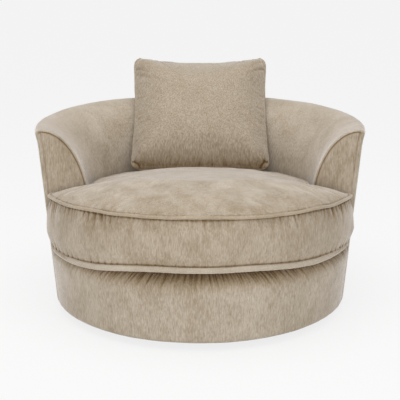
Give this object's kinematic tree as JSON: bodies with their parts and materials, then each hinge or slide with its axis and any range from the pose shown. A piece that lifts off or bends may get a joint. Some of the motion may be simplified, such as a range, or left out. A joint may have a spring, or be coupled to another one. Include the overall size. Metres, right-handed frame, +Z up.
{
  "type": "swivel armchair",
  "caption": "Round swivel tub armchair on a drum base, upholstered in beige chenille, with a loose boxed seat cushion and a leaning piped scatter cushion.",
  "frame": {"origin": "on the floor, on the swivel axis", "axes": "+Z up, the sitter faces -Y, +X to the right of someone looking at the chair's front"},
  "size_m": [1.1475, 1.1336, 0.8211],
  "materials": {
    "timber_board": "matte",
    "fibreboard": "matte",
    "zinc_steel": "satin",
    "spring_steel": "satin",
    "nylon": "satin",
    "dust_cloth": "matte",
    "felt": "matte",
    "foam": "matte",
    "wadding": "matte",
    "deck_cloth": "matte",
    "chenille": "matte",
    "piping": "matte",
    "zip": "matte",
    "zip_metal": "satin"
  },
  "bodies": {
    "base": {"plinth_board": "timber_board", "floor_glides": "nylon", "lower_bearing_plate": "zinc_steel", "lower_plate_screws": "zinc_steel", "pivot_bolt": "zinc_steel", "pivot_washer": "zinc_steel", "pivot_nut": "zinc_steel"},
    "bearing": {"bearing_balls": "zinc_steel", "ball_cage": "nylon"},
    "chair": {"upper_bearing_plate": "zinc_steel", "upper_plate_bolts": "zinc_steel", "tee_nuts": "zinc_steel", "pivot_bush": "nylon", "base_board": "timber_board", "drum_uprights": "timber_board", "upright_screws": "zinc_steel", "hem_hoop": "timber_board", "dust_cover": "dust_cloth", "seat_ring": "timber_board", "seat_springs": "spring_steel", "spring_clips": "spring_steel", "spring_tie_wires": "spring_steel", "deck_felt": "felt", "deck_pad": "foam", "deck_cover": "deck_cloth", "front_board": "fibreboard", "front_wadding": "wadding", "front_edge_roll": "foam", "front_cover": "chenille", "back_ribs": "timber_board", "top_rail": "timber_board", "arm_post_left": "timber_board", "arm_post_right": "timber_board", "back_board": "fibreboard", "back_wadding": "wadding", "back_foam": "foam", "inside_back_cover": "chenille", "outside_back_cover": "chenille", "facing_left": "chenille", "facing_right": "chenille", "facing_pad_left": "foam", "facing_pad_right": "foam"},
    "seat_cushion": {"seat_foam_core": "foam", "seat_top_panel": "chenille", "seat_boxing": "chenille", "seat_bottom_panel": "chenille", "seat_top_piping": "piping", "seat_bottom_piping": "piping", "seat_zip": "zip"},
    "seat_zip_slider": {"seat_zip_slider": "zip_metal"},
    "scatter_cushion": {"scatter_filling": "wadding", "scatter_front_panel": "chenille", "scatter_back_panel": "chenille", "scatter_piping": "piping", "scatter_zip": "zip"},
    "scatter_zip_slider": {"scatter_zip_slider": "zip_metal"}
  },
  "joints": [
    {"name": "swivel", "type": "hinge", "parent": "base", "child": "chair", "pos_m": [0, 0, 0.036], "axis": [0, 0, 1], "continuous": true},
    {"name": "cage_roll", "type": "hinge", "parent": "base", "child": "bearing", "pos_m": [0, 0, 0.036], "axis": [0, 0, 1], "continuous": true},
    {"name": "seat_lift_out", "type": "slide", "parent": "chair", "child": "seat_cushion", "axis": [0, 0, 1], "range_m": [0, 0.45]},
    {"name": "seat_zip_run", "type": "hinge", "parent": "seat_cushion", "child": "seat_zip_slider", "pos_m": [0, 0, 0.3485], "axis": [0, 0, 1], "range_deg": [0, 90]},
    {"name": "scatter_lift_off", "type": "slide", "parent": "seat_cushion", "child": "scatter_cushion", "axis": [0, 0, 1], "range_m": [0, 0.4]},
    {"name": "scatter_zip_run", "type": "slide", "parent": "scatter_cushion", "child": "scatter_zip_slider", "axis": [1, 0, 0], "range_m": [0, 0.325]}
  ],
  "couplings": [
    {"joint": "cage_roll", "follows": "swivel", "ratio": 0.5}
  ]
}
